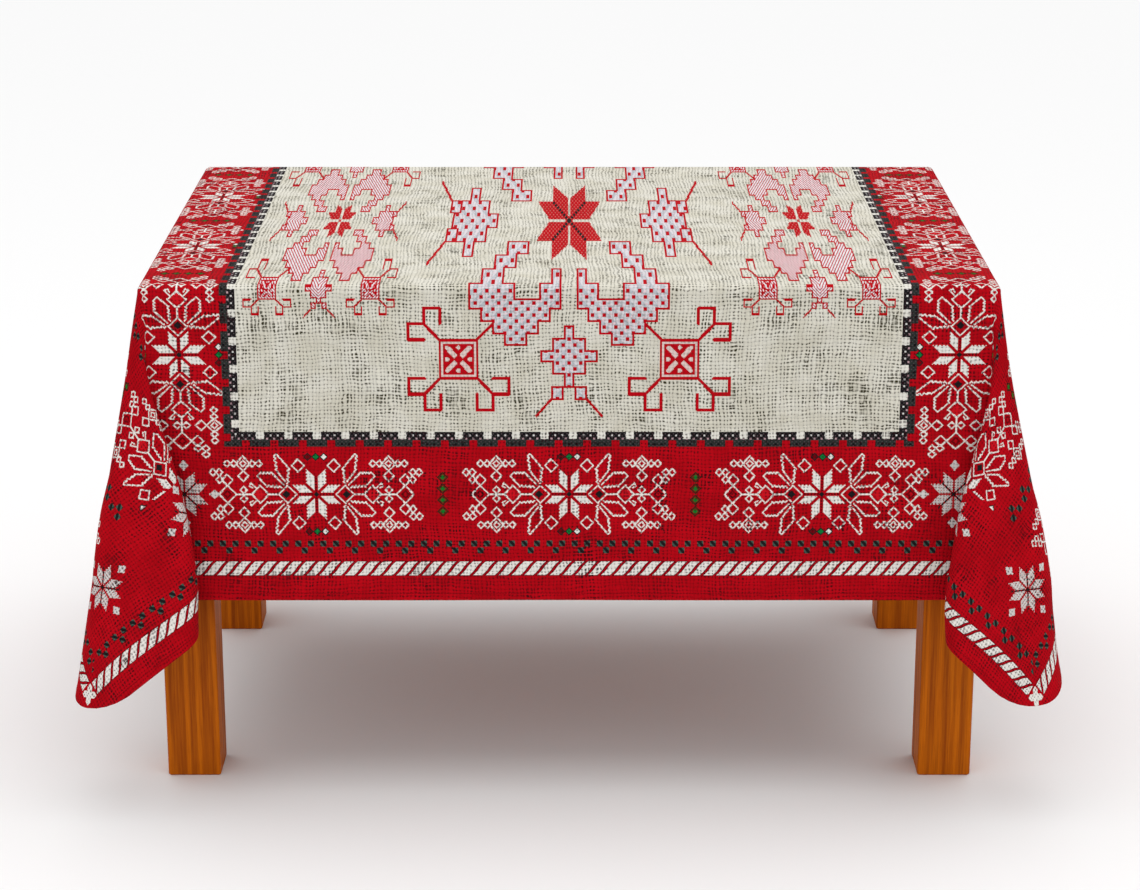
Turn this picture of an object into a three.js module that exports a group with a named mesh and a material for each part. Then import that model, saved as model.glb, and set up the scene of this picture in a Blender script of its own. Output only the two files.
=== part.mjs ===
// A dining table with a rectangular tablecloth draped over it.
// Millimetres, +Z up, +X along the table's length, +Y to its back.
// Each cloth corner hangs as a lobe: the spare cloth is folded once over the
// front panel and once over the side panel, and stands out in a soft ridge.
import * as THREE from 'three';

// ---------------------------------------------------------------- table
const TABLE_LENGTH = 1200;      // board, along X
const TABLE_DEPTH = 800;        // board, along Y
const TABLE_HEIGHT = 765;       // floor to the top of the board
const BOARD_THICKNESS = 25;
const BOARD_EDGE_RADIUS = 6;    // rounded top edge and rounded plan corner
const BOARD_LOWER_EASE = 1.5;   // small chamfer round the underside
const LEG_SIDE = 78;            // square leg
const LEG_IN_FROM_END = 2;      // leg face behind the board's short edge
const LEG_IN_FROM_FRONT = 58;   // leg face behind the board's long edge
const LEG_ARRIS = 2;            // chamfer of the long corners and of the foot
const APRON_HEIGHT = 90;
const APRON_THICKNESS = 22;
const APRON_SET_BACK = 8;       // apron face behind the leg's outer face
const GAP = 0.3;                // between pieces that meet

// ---------------------------------------------------------------- cloth
const CLOTH_THICKNESS = 2;
const CLOTH_CLEARANCE = 2;      // over the board and off its edges
const CLOTH_DROP = 471;         // cloth from the line where the bend starts to the hem
const BEND_RADIUS = BOARD_EDGE_RADIUS + CLOTH_CLEARANCE + CLOTH_THICKNESS / 2;
const BEND_X = TABLE_LENGTH / 2 - BOARD_EDGE_RADIUS;   // the bend starts here
const BEND_Y = TABLE_DEPTH / 2 - BOARD_EDGE_RADIUS;
const CLOTH_LEVEL = TABLE_HEIGHT + CLOTH_CLEARANCE + CLOTH_THICKNESS / 2;

// Corner lobes. side: which corner, as signs of X and Y. tip: radius of the
// cloth's own corner. lean: how far the closed top of the lobe leans out, in
// degrees. opening: share of the full fold at a distance from the table corner.
// folds: seen from above as degrees of swing about the table corner, walked from
// the front (or back) panel to the side panel. run: straight swing. turn: change
// of direction, + towards the front (or back). radius: of that turn. cloth: how
// much of the cloth's quarter circle the row takes up.
const CORNERS = [
  {
    name: 'front left', side: [-1, -1], tip: 118, lean: 10.6,
    opening: [
      { at: 0, share: 0 }, { at: 40, share: 0 }, { at: 150, share: 0.55 }, { at: 230, share: 0.88 },
      { at: 270, share: 0.98 }, { at: 340, share: 1.06 }, { at: 415, share: 1.02 }, { at: 490, share: 0.91 },
      { at: 540, share: 0.84 }, { at: 600, share: 0.8 }, { at: 660, share: 0.72 },
    ],
    folds: [
      { fold: 'neck', run: 0, turn: 176, radius: 1.5, cloth: 8.5 },
      { fold: 'under', run: 7.0, turn: 0, radius: 0, cloth: 10.5 },
      { fold: 'crease', run: 0, turn: -172, radius: 2.7, cloth: 9.5 },
      { fold: 'flap', run: 14.8, turn: 0, radius: 0, cloth: 16.5 },
      { fold: 'ridge', run: 0, turn: -100, radius: 2.0, cloth: 5.5 },
      { fold: 'side flap', run: 13.2, turn: 0, radius: 0, cloth: 13.5 },
      { fold: 'side crease', run: 0, turn: -170, radius: 3.0, cloth: 9.5 },
      { fold: 'side under', run: 8.4, turn: 0, radius: 0, cloth: 9.0 },
      { fold: 'side neck', run: 0, turn: 176, radius: 1.5, cloth: 7.5 },
    ],
  },
  {
    name: 'front right', side: [1, -1], tip: 135, lean: 8.6,
    opening: [
      { at: 0, share: 0 }, { at: 40, share: 0 }, { at: 150, share: 0.46 }, { at: 200, share: 0.71 },
      { at: 290, share: 0.99 }, { at: 350, share: 1.07 }, { at: 420, share: 1.06 }, { at: 480, share: 0.99 },
      { at: 540, share: 0.87 }, { at: 600, share: 0.84 }, { at: 660, share: 0.8 },
    ],
    folds: [
      { fold: 'neck', run: 0, turn: 176, radius: 1.8, cloth: 9.5 },
      { fold: 'under', run: 5.2, turn: 0, radius: 0, cloth: 11.0 },
      { fold: 'crease', run: 0, turn: -170, radius: 2.7, cloth: 10.0 },
      { fold: 'flap', run: 13.4, turn: 0, radius: 0, cloth: 17.0 },
      { fold: 'ridge', run: 0, turn: -102, radius: 3.0, cloth: 8.0 },
      { fold: 'side flap', run: 12.6, turn: 0, radius: 0, cloth: 12.5 },
      { fold: 'side crease', run: 0, turn: -170, radius: 2.8, cloth: 8.5 },
      { fold: 'side under', run: 7.9, turn: 0, radius: 0, cloth: 8.0 },
      { fold: 'side neck', run: 0, turn: 176, radius: 1.5, cloth: 6.5 },
    ],
  },
  {
    name: 'back left', side: [-1, 1], tip: 100, lean: 9.4,
    opening: [
      { at: 0, share: 0 }, { at: 40, share: 0 }, { at: 150, share: 0.5 }, { at: 230, share: 0.82 },
      { at: 300, share: 0.96 }, { at: 360, share: 1.02 }, { at: 430, share: 1.0 }, { at: 500, share: 0.94 },
      { at: 600, share: 0.84 }, { at: 660, share: 0.74 },
    ],
    folds: [
      { fold: 'neck', run: 0, turn: 176, radius: 1.5, cloth: 8.0 },
      { fold: 'under', run: 6.2, turn: 0, radius: 0, cloth: 9.0 },
      { fold: 'crease', run: 0, turn: -170, radius: 2.9, cloth: 9.0 },
      { fold: 'flap', run: 12.6, turn: 0, radius: 0, cloth: 14.5 },
      { fold: 'ridge', run: 0, turn: -102, radius: 2.6, cloth: 6.5 },
      { fold: 'side flap', run: 14.6, turn: 0, radius: 0, cloth: 15.0 },
      { fold: 'side crease', run: 0, turn: -172, radius: 2.6, cloth: 8.5 },
      { fold: 'side under', run: 8.6, turn: 0, radius: 0, cloth: 10.0 },
      { fold: 'side neck', run: 0, turn: 176, radius: 1.5, cloth: 7.5 },
    ],
  },
  {
    name: 'back right', side: [1, 1], tip: 110, lean: 9.8,
    opening: [
      { at: 0, share: 0 }, { at: 40, share: 0 }, { at: 150, share: 0.54 }, { at: 220, share: 0.84 },
      { at: 280, share: 0.96 }, { at: 350, share: 1.04 }, { at: 430, share: 1.0 }, { at: 500, share: 0.92 },
      { at: 600, share: 0.82 }, { at: 660, share: 0.72 },
    ],
    folds: [
      { fold: 'neck', run: 0, turn: 176, radius: 1.5, cloth: 7.5 },
      { fold: 'under', run: 7.2, turn: 0, radius: 0, cloth: 9.5 },
      { fold: 'crease', run: 0, turn: -172, radius: 2.6, cloth: 8.5 },
      { fold: 'flap', run: 14.4, turn: 0, radius: 0, cloth: 15.5 },
      { fold: 'ridge', run: 0, turn: -98, radius: 2.2, cloth: 5.5 },
      { fold: 'side flap', run: 12.2, turn: 0, radius: 0, cloth: 14.0 },
      { fold: 'side crease', run: 0, turn: -170, radius: 2.9, cloth: 9.5 },
      { fold: 'side under', run: 7.2, turn: 0, radius: 0, cloth: 9.5 },
      { fold: 'side neck', run: 0, turn: 176, radius: 1.5, cloth: 8.0 },
    ],
  },
];

// Facets of the cloth.
const STEPS_PER_RUN = 2;                                   // across a straight run
const DEGREES_PER_STEP = 26;                               // round a fold
const BEND_STEPS = 3;                                      // over the table edge
const DROP_ROWS = [0.07, 0.17, 0.29, 0.43, 0.6, 0.8, 1];   // shares of the hanging length
const CELLS_ALONG = 6;                                     // of the top, along X
const CELLS_ACROSS = 4;                                    // of the top, along Y

// ---------------------------------------------------------------- helpers
const rad = (degrees) => degrees * Math.PI / 180;
const clamp = (x, lo, hi) => Math.min(hi, Math.max(lo, x));
const smooth = (x) => { const t = clamp(x, 0, 1); return t * t * (3 - 2 * t); };

// Monotone curve through rows (xs rising), straight at both ends.
function curveThrough(xs, ys) {
  const n = xs.length;
  const h = [], d = [], m = new Array(n).fill(0);
  for (let i = 0; i < n - 1; i++) { h.push(xs[i + 1] - xs[i]); d.push((ys[i + 1] - ys[i]) / h[i]); }
  for (let i = 1; i < n - 1; i++) {
    if (d[i - 1] * d[i] > 0) {
      const w1 = 2 * h[i] + h[i - 1], w2 = h[i] + 2 * h[i - 1];
      m[i] = (w1 + w2) / (w1 / d[i - 1] + w2 / d[i]);
    }
  }
  m[0] = d[0];
  m[n - 1] = d[n - 2];
  return (x) => {
    let i = 0;
    while (i < n - 2 && x >= xs[i + 1]) i++;
    const t = (x - xs[i]) / h[i];
    return (2 * t ** 3 - 3 * t ** 2 + 1) * ys[i] + (t ** 3 - 2 * t ** 2 + t) * h[i] * m[i]
      + (-2 * t ** 3 + 3 * t ** 2) * ys[i + 1] + (t ** 3 - t ** 2) * h[i] * m[i + 1];
  };
}

// Walks a corner's folds as a path of swing angles (p along X, q along Y).
function walkFolds(folds) {
  const STEP = 0.05;
  const p = [0], q = [0], length = [0], ends = [0], cloth = [0];
  let x = 0, y = 0, heading = 0;
  const last = (list) => list[list.length - 1];
  for (const row of folds) {
    if (row.run) {
      const count = Math.max(1, Math.floor(row.run / STEP));
      for (let i = 0; i < count; i++) {
        x += row.run / count * Math.cos(heading);
        y += row.run / count * Math.sin(heading);
        p.push(x); q.push(y); length.push(last(length) + row.run / count);
      }
    }
    if (row.turn) {
      const angle = rad(row.turn), arc = Math.abs(angle) * row.radius;
      const count = Math.max(4, Math.floor(arc / STEP));
      for (let i = 0; i < count; i++) {
        heading += angle / count / 2;
        x += arc / count * Math.cos(heading);
        y += arc / count * Math.sin(heading);
        heading += angle / count / 2;
        p.push(x); q.push(y); length.push(last(length) + arc / count);
      }
    }
    ends.push(last(length));
    cloth.push(last(cloth) + row.cloth);
  }
  // The path closes on its start: what is left over is spread along it.
  const total = last(length), endP = x, endQ = y;
  for (let i = 0; i < p.length; i++) {
    const t = smooth(length[i] / total);
    p[i] -= t * endP;
    q[i] -= t * endQ;
  }
  const knots = cloth.map((c) => c * 90 / last(cloth));
  const along = curveThrough(knots, ends);
  const at = (theta) => {
    const l = clamp(along(theta), 0, total);
    let lo = 0, hi = length.length - 1;
    while (hi - lo > 1) { const mid = (lo + hi) >> 1; if (length[mid] <= l) lo = mid; else hi = mid; }
    const t = (l - length[lo]) / (length[hi] - length[lo]);
    return [p[lo] + t * (p[hi] - p[lo]), q[lo] + t * (q[hi] - q[lo])];
  };
  return { at, knots };
}

// Direction in which a ray of cloth hangs, from its swing in radians.
function hang(p, q) {
  const d = Math.hypot(p, q), s = d > 1e-9 ? Math.sin(d) / d : 1;
  return new THREE.Vector3(p * s, q * s, -Math.cos(d));
}

// A corner's mid-surface: theta 0 is the front (or back) panel, 90 the side panel.
function cornerSurface(corner) {
  const { at: lobe, knots } = walkFolds(corner.folds);
  const share = curveThrough(corner.opening.map((r) => r.at), corner.opening.map((r) => r.share));
  const [sx, sy] = corner.side;
  const openSwing = (theta) => [
    corner.lean * smooth((90 - theta) / 30) * smooth(theta / 62),
    corner.lean * 0.85 * smooth(theta / 30) * smooth((90 - theta) / 62),
  ];
  const bendLength = (theta) => {
    const [p, q] = openSwing(theta), g = hang(rad(p), rad(q)), t = rad(theta);
    return BEND_RADIUS * Math.acos(clamp(Math.sin(t) * g.x + Math.cos(t) * g.y, -1, 1));
  };
  const hem = (theta) => {                       // hem distance along a ray of cloth
    const t = rad(theta), c = CLOTH_DROP - corner.tip;
    const limit = Math.atan2(c, CLOTH_DROP) * 180 / Math.PI;
    if (theta > limit && theta < 90 - limit) {
      const along = c * (Math.sin(t) + Math.cos(t));
      return along + Math.sqrt(Math.max(0, along * along - 2 * c * c + corner.tip ** 2));
    }
    return CLOTH_DROP / Math.max(Math.sin(t), Math.cos(t));
  };
  const point = (theta, rho) => {
    const [p1, q1] = lobe(theta), [p0, q0] = openSwing(theta);
    const w = share(rho), rest = 1 - Math.min(w, 1);
    const g = hang(rad(rest * p0 + w * p1), rad(rest * q0 + w * q1));
    const g0 = hang(rad(p0), rad(q0));
    const out = new THREE.Vector3(Math.sin(rad(theta)), Math.cos(rad(theta)), 0);
    const cosine = out.dot(g0), bend = Math.acos(clamp(cosine, -1, 1));
    const down = g0.clone().addScaledVector(out, -cosine).divideScalar(Math.sin(bend));
    const turned = Math.min(rho, BEND_RADIUS * bend) / BEND_RADIUS;
    const at = out.multiplyScalar(BEND_RADIUS * Math.sin(turned))
      .addScaledVector(down, BEND_RADIUS * (1 - Math.cos(turned)))
      .addScaledVector(g, Math.max(0, rho - BEND_RADIUS * bend));
    return [sx * (BEND_X + at.x), sy * (BEND_Y + at.y), CLOTH_LEVEL + at.z];
  };
  return { point, hem, bendLength, knots };
}

// A hanging panel's mid-surface: distance a beyond the start of the bend.
function panelPoint(along, a, axis, sign) {
  const bend = BEND_RADIUS * Math.PI / 2, t = Math.min(a, bend) / BEND_RADIUS;
  const out = BEND_RADIUS * Math.sin(t), down = BEND_RADIUS * (1 - Math.cos(t)) + Math.max(0, a - bend);
  return axis === 'y'
    ? [along, sign * (BEND_Y + out), CLOTH_LEVEL - down]
    : [sign * (BEND_X + out), along, CLOTH_LEVEL - down];
}

// Collects triangles over shared vertices and drops the collapsed ones.
function shellBuilder() {
  const keys = new Map(), points = [], faces = [];
  const vertex = (p) => {
    const key = p.map((c) => Math.round(c * 1000)).join(',');
    if (!keys.has(key)) { keys.set(key, points.length); points.push(p); }
    return keys.get(key);
  };
  const triangle = (a, b, c) => {
    const [i, j, k] = [vertex(a), vertex(b), vertex(c)];
    if (i !== j && j !== k && k !== i) faces.push([i, j, k]);
  };
  const quad = (a, b, c, d) => { triangle(a, b, c); triangle(a, c, d); };
  return { points, faces, triangle, quad };
}

function geometryOf(points, faces) {
  const geometry = new THREE.BufferGeometry();
  geometry.setAttribute('position', new THREE.Float32BufferAttribute(points.flat(), 3));
  geometry.setIndex(faces.flat());
  geometry.computeVertexNormals();
  return geometry;
}

// ---------------------------------------------------------------- cloth solid
function clothGeometry() {
  const sheet = shellBuilder();
  // Facing: every quad is given so that its outer side is the cloth's right side.
  const grid = (rows, flip) => {
    for (let j = 0; j < rows.length - 1; j++) {
      for (let i = 0; i < rows[j].length - 1; i++) {
        const [a, b, c, d] = [rows[j][i], rows[j][i + 1], rows[j + 1][i + 1], rows[j + 1][i]];
        if (flip) sheet.quad(a, d, c, b); else sheet.quad(a, b, c, d);
      }
    }
  };
  const cells = (half, count) => Array.from({ length: count + 1 }, (_, i) => half * (2 * i / count - 1));
  const xs = cells(BEND_X, CELLS_ALONG), ys = cells(BEND_Y, CELLS_ACROSS);
  const rowsOf = (bend, hem) => [
    ...Array.from({ length: BEND_STEPS + 1 }, (_, i) => bend * i / BEND_STEPS),
    ...DROP_ROWS.map((share) => bend + share * (hem - bend)),
  ];
  const panelRows = rowsOf(BEND_RADIUS * Math.PI / 2, CLOTH_DROP);

  grid(ys.map((y) => xs.map((x) => [x, y, CLOTH_LEVEL])), false);
  for (const sign of [-1, 1]) {
    grid(panelRows.map((a) => xs.map((x) => panelPoint(x, a, 'y', sign))), sign < 0);
    grid(panelRows.map((a) => ys.map((y) => panelPoint(y, a, 'x', sign))), sign > 0);
  }
  for (const corner of CORNERS) {
    const surface = cornerSurface(corner);
    const thetas = [0];
    corner.folds.forEach((row, i) => {
      const steps = row.turn ? Math.ceil(Math.abs(row.turn) / DEGREES_PER_STEP) : STEPS_PER_RUN;
      for (let k = 1; k <= steps; k++) {
        thetas.push(surface.knots[i] + (surface.knots[i + 1] - surface.knots[i]) * k / steps);
      }
    });
    const columns = thetas.map((theta) => rowsOf(surface.bendLength(theta), surface.hem(theta))
      .map((rho) => surface.point(theta, rho)));
    const rows = columns[0].map((_, j) => columns.map((column) => column[j]));
    grid(rows, corner.side[0] * corner.side[1] < 0);
  }

  // Two faces half a thickness either side, joined round the hem.
  const { points, faces } = sheet;
  const normals = points.map(() => new THREE.Vector3());
  const v = (i) => new THREE.Vector3(...points[i]);
  for (const face of faces) {
    for (let k = 0; k < 3; k++) {
      const [i, j, l] = [face[k], face[(k + 1) % 3], face[(k + 2) % 3]];
      const e = v(j).sub(v(i)), f = v(l).sub(v(i)), angle = e.angleTo(f);
      normals[i].addScaledVector(e.cross(f).normalize(), angle);
    }
  }
  const half = CLOTH_THICKNESS / 2;
  const outer = points.map((p, i) => { const n = normals[i].normalize(); return [p[0] + half * n.x, p[1] + half * n.y, p[2] + half * n.z]; });
  const inner = points.map((p, i) => { const n = normals[i]; return [p[0] - half * n.x, p[1] - half * n.y, p[2] - half * n.z]; });
  const solid = faces.map((f) => [...f]);
  const count = points.length;
  for (const [a, b, c] of faces) solid.push([c + count, b + count, a + count]);
  const edges = new Map();
  for (const [a, b, c] of faces) for (const [i, j] of [[a, b], [b, c], [c, a]]) edges.set(`${i},${j}`, [i, j]);
  for (const [i, j] of edges.values()) {
    if (!edges.has(`${j},${i}`)) { solid.push([j, i, i + count]); solid.push([j, i + count, j + count]); }
  }
  return geometryOf([...outer, ...inner], solid);
}

// ---------------------------------------------------------------- table solids
// A convex prism or slab lofted through level outlines, from the lowest up.
function loft(outlines) {
  const shell = shellBuilder();
  const cap = (ring, up) => {
    for (let i = 1; i < ring.length - 1; i++) {
      if (up) shell.triangle(ring[0], ring[i], ring[i + 1]); else shell.triangle(ring[0], ring[i + 1], ring[i]);
    }
  };
  cap(outlines[0], false);
  for (let k = 0; k < outlines.length - 1; k++) {
    const low = outlines[k], high = outlines[k + 1], n = low.length;
    for (let i = 0; i < n; i++) shell.quad(low[i], low[(i + 1) % n], high[(i + 1) % n], high[i]);
  }
  cap(outlines[outlines.length - 1], true);
  return geometryOf(shell.points, shell.faces);
}

// Rectangle with rounded (steps > 1) or cut (steps 1) corners, counter-clockwise.
function outline(halfX, halfY, corner, steps, z) {
  const ring = [];
  [[1, 1, 0], [-1, 1, 90], [-1, -1, 180], [1, -1, 270]].forEach(([sx, sy, start]) => {
    for (let i = 0; i <= steps; i++) {
      const a = rad(start + 90 * i / steps);
      ring.push([sx * (halfX - corner) + corner * Math.cos(a), sy * (halfY - corner) + corner * Math.sin(a), z]);
    }
  });
  return ring;
}

function boardGeometry() {
  const STEPS = 4, r = BOARD_EDGE_RADIUS, hx = TABLE_LENGTH / 2, hy = TABLE_DEPTH / 2;
  const under = TABLE_HEIGHT - BOARD_THICKNESS;
  const rings = [
    outline(hx - BOARD_LOWER_EASE, hy - BOARD_LOWER_EASE, r - BOARD_LOWER_EASE, STEPS, under),
    outline(hx, hy, r, STEPS, under + BOARD_LOWER_EASE),
  ];
  for (let i = 0; i <= STEPS; i++) {
    const a = rad(90 * i / STEPS), c = i === STEPS ? 0 : r * Math.cos(a);
    rings.push(outline(hx - r + c, hy - r + c, c, STEPS, TABLE_HEIGHT - r + r * Math.sin(a)));
  }
  return loft(rings);
}

function barGeometry(sizeX, sizeY, low, high, arris, foot) {
  const section = (inset, z) => outline(sizeX / 2 - inset, sizeY / 2 - inset, arris, 1, z);
  return loft([...(foot ? [section(arris, low), section(0, low + arris)] : [section(0, low)]), section(0, high)]);
}

// ---------------------------------------------------------------- assembly
const clothPrint = new THREE.MeshStandardMaterial({ color: 0xb5101c, roughness: 0.9, metalness: 0, side: THREE.FrontSide });
const boardWood = new THREE.MeshStandardMaterial({ color: 0xa85a14, roughness: 0.5, metalness: 0 });
const legWood = new THREE.MeshStandardMaterial({ color: 0xa55500, roughness: 0.48, metalness: 0 });

const draped = new THREE.Group();

function add(name, geometry, material, x = 0, y = 0, z = 0) {
  const mesh = new THREE.Mesh(geometry, material);
  mesh.name = name;
  mesh.position.set(x, y, z);
  draped.add(mesh);
  return mesh;
}

const cloth = add('cloth', clothGeometry(), clothPrint);
add('table_top', boardGeometry(), boardWood);

const legTop = TABLE_HEIGHT - BOARD_THICKNESS - GAP;
const legX = TABLE_LENGTH / 2 - LEG_IN_FROM_END - LEG_SIDE / 2;
const legY = TABLE_DEPTH / 2 - LEG_IN_FROM_FRONT - LEG_SIDE / 2;
for (const [name, sx, sy] of [['leg_front_left', -1, -1], ['leg_front_right', 1, -1], ['leg_back_left', -1, 1], ['leg_back_right', 1, 1]]) {
  add(name, barGeometry(LEG_SIDE, LEG_SIDE, 0, legTop, LEG_ARRIS, true), legWood, sx * legX, sy * legY, 0);
}

const apronX = legX + LEG_SIDE / 2 - APRON_SET_BACK - APRON_THICKNESS / 2;
const apronY = legY + LEG_SIDE / 2 - APRON_SET_BACK - APRON_THICKNESS / 2;
const longApron = 2 * (legX - LEG_SIDE / 2 - GAP), shortApron = 2 * (legY - LEG_SIDE / 2 - GAP);
for (const [name, sy] of [['apron_front', -1], ['apron_back', 1]]) {
  add(name, barGeometry(longApron, APRON_THICKNESS, legTop - APRON_HEIGHT, legTop, 1, false), legWood, 0, sy * apronY, 0);
}
for (const [name, sx] of [['apron_left', -1], ['apron_right', 1]]) {
  add(name, barGeometry(APRON_THICKNESS, shortApron, legTop - APRON_HEIGHT, legTop, 1, false), legWood, sx * apronX, 0, 0);
}

// The origin is on the floor under the middle of the whole object. The lobes
// stand out by different amounts, so the table itself sits a little to one side.
cloth.geometry.computeBoundingBox();
const box = cloth.geometry.boundingBox;
draped.position.set(-(box.min.x + box.max.x) / 2, -(box.min.y + box.max.y) / 2, 0);

const group = new THREE.Group();
group.add(draped);
export default group;
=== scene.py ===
# A printed tablecloth draped over a plain wooden table.
import math

import bpy
import numpy as np
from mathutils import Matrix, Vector


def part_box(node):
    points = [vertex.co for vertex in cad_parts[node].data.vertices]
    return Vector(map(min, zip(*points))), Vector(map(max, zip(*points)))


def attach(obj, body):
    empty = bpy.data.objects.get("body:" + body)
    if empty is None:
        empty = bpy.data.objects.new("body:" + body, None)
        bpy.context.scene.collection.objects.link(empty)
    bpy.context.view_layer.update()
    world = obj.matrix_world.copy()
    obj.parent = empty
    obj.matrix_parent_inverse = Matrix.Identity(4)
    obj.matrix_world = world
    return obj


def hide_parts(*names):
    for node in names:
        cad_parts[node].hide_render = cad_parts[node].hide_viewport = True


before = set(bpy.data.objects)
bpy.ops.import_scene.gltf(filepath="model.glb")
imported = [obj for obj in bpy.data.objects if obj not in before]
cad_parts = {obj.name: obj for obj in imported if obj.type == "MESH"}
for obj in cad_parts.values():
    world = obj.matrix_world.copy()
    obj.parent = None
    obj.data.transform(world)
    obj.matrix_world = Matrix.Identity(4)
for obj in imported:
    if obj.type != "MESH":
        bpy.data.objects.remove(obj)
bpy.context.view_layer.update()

# ------------------------------------------------------------------ sizes, in millimetres
TABLE_LENGTH, TABLE_DEPTH, TABLE_HEIGHT = 1200.0, 800.0, 765.0
BOARD_EDGE_RADIUS, CLOTH_CLEARANCE = 6.0, 2.0
CAD_THICKNESS = 2.0                 # the cloth's solid
CLOTH_THICKNESS = 1.5               # the cloth as shown
HEM_EXTRA, HEM_WIDTH = 0.9, 13.0    # the turned hem is thicker
CLOTH_DROP = 471.0
BEND_RADIUS = BOARD_EDGE_RADIUS + CLOTH_CLEARANCE + CAD_THICKNESS / 2
BEND_X, BEND_Y = TABLE_LENGTH / 2 - BOARD_EDGE_RADIUS, TABLE_DEPTH / 2 - BOARD_EDGE_RADIUS
CLOTH_LEVEL = TABLE_HEIGHT + CLOTH_CLEARANCE + CAD_THICKNESS / 2
HALF_LENGTH, HALF_WIDTH = BEND_X + CLOTH_DROP, BEND_Y + CLOTH_DROP    # of the flat cloth
FIELD_U, FIELD_V = 467.0, 611.0     # half sizes of the print's pale field
board_low, board_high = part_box("table_top")
CENTRE = (board_low + board_high) / 2                                 # the table's middle in the frame, metres
MM = 0.001

# The four corner lobes: see the columns' names.
# opening: (distance from the table corner, share of the full fold)
# folds: (name, straight run, turn, radius of the turn, share of the quarter circle), in degrees
LOBES = {
    "front_left": dict(side=(-1, -1), tip=118.0, lean=10.6,
        opening=[(0, 0.0), (40, 0.0), (150, 0.55), (230, 0.88), (270, 0.98), (340, 1.06), (415, 1.02), (490, 0.91), (540, 0.84), (600, 0.80), (660, 0.72)],
        folds=[("neck", 0, 176, 1.5, 8.5), ("under", 7.0, 0, 0, 10.5), ("crease", 0, -172, 2.7, 9.5), ("flap", 14.8, 0, 0, 16.5), ("ridge", 0, -100, 2.0, 5.5),
               ("side flap", 13.2, 0, 0, 13.5), ("side crease", 0, -170, 3.0, 9.5), ("side under", 8.4, 0, 0, 9.0), ("side neck", 0, 176, 1.5, 7.5)]),
    "front_right": dict(side=(1, -1), tip=135.0, lean=8.6,
        opening=[(0, 0.0), (40, 0.0), (150, 0.46), (200, 0.71), (290, 0.99), (350, 1.07), (420, 1.06), (480, 0.99), (540, 0.87), (600, 0.84), (660, 0.80)],
        folds=[("neck", 0, 176, 1.8, 9.5), ("under", 5.2, 0, 0, 11.0), ("crease", 0, -170, 2.7, 10.0), ("flap", 13.4, 0, 0, 17.0), ("ridge", 0, -102, 3.0, 8.0),
               ("side flap", 12.6, 0, 0, 12.5), ("side crease", 0, -170, 2.8, 8.5), ("side under", 7.9, 0, 0, 8.0), ("side neck", 0, 176, 1.5, 6.5)]),
    "back_left": dict(side=(-1, 1), tip=100.0, lean=9.4,
        opening=[(0, 0.0), (40, 0.0), (150, 0.50), (230, 0.82), (300, 0.96), (360, 1.02), (430, 1.00), (500, 0.94), (600, 0.84), (660, 0.74)],
        folds=[("neck", 0, 176, 1.5, 8.0), ("under", 6.2, 0, 0, 9.0), ("crease", 0, -170, 2.9, 9.0), ("flap", 12.6, 0, 0, 14.5), ("ridge", 0, -102, 2.6, 6.5),
               ("side flap", 14.6, 0, 0, 15.0), ("side crease", 0, -172, 2.6, 8.5), ("side under", 8.6, 0, 0, 10.0), ("side neck", 0, 176, 1.5, 7.5)]),
    "back_right": dict(side=(1, 1), tip=110.0, lean=9.8,
        opening=[(0, 0.0), (40, 0.0), (150, 0.54), (220, 0.84), (280, 0.96), (350, 1.04), (430, 1.00), (500, 0.92), (600, 0.82), (660, 0.72)],
        folds=[("neck", 0, 176, 1.5, 7.5), ("under", 7.2, 0, 0, 9.5), ("crease", 0, -172, 2.6, 8.5), ("flap", 14.4, 0, 0, 15.5), ("ridge", 0, -98, 2.2, 5.5),
               ("side flap", 12.2, 0, 0, 14.0), ("side crease", 0, -170, 2.9, 9.5), ("side under", 7.2, 0, 0, 9.5), ("side neck", 0, 176, 1.5, 8.0)]),
}

# ------------------------------------------------------------------ the cloth's shape


def smooth(x):
    x = np.clip(x, 0, 1)
    return x * x * (3 - 2 * x)


def curve(xs, ys, x):
    """A monotone curve through rows."""
    xs, ys, x = (np.asarray(a, float) for a in (xs, ys, x))
    h = np.diff(xs)
    d = np.diff(ys) / h
    m = np.zeros(len(xs))
    for i in range(1, len(xs) - 1):
        if d[i - 1] * d[i] > 0:
            w1, w2 = 2 * h[i] + h[i - 1], h[i] + 2 * h[i - 1]
            m[i] = (w1 + w2) / (w1 / d[i - 1] + w2 / d[i])
    m[0], m[-1] = d[0], d[-1]
    i = np.clip(np.searchsorted(xs, x, side="right") - 1, 0, len(xs) - 2)
    t = (x - xs[i]) / h[i]
    return ((2 * t**3 - 3 * t**2 + 1) * ys[i] + (t**3 - 2 * t**2 + t) * h[i] * m[i]
            + (-2 * t**3 + 3 * t**2) * ys[i + 1] + (t**3 - t**2) * h[i] * m[i + 1])


def walk(folds):
    """The folds seen from above, as a path of swing angles, and where along it each fold ends."""
    step, heading, x, y = 0.05, 0.0, 0.0, 0.0
    points, length, ends, share = [(0.0, 0.0)], [0.0], [0.0], [0.0]
    for _, run, turn, radius, cloth in folds:
        if run:
            n = max(1, int(run / step))
            for _ in range(n):
                x += run / n * math.cos(heading)
                y += run / n * math.sin(heading)
                points.append((x, y))
                length.append(length[-1] + run / n)
        if turn:
            angle = math.radians(turn)
            arc = abs(angle) * radius
            n = max(4, int(arc / step))
            for _ in range(n):
                heading += angle / n / 2
                x += arc / n * math.cos(heading)
                y += arc / n * math.sin(heading)
                heading += angle / n / 2
                points.append((x, y))
                length.append(length[-1] + arc / n)
        ends.append(length[-1])
        share.append(share[-1] + cloth)
    points, length = np.array(points), np.array(length)
    points -= np.outer(smooth(length / length[-1]), points[-1])
    return points, length, np.array(ends), np.array(share) * 90 / share[-1]


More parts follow.
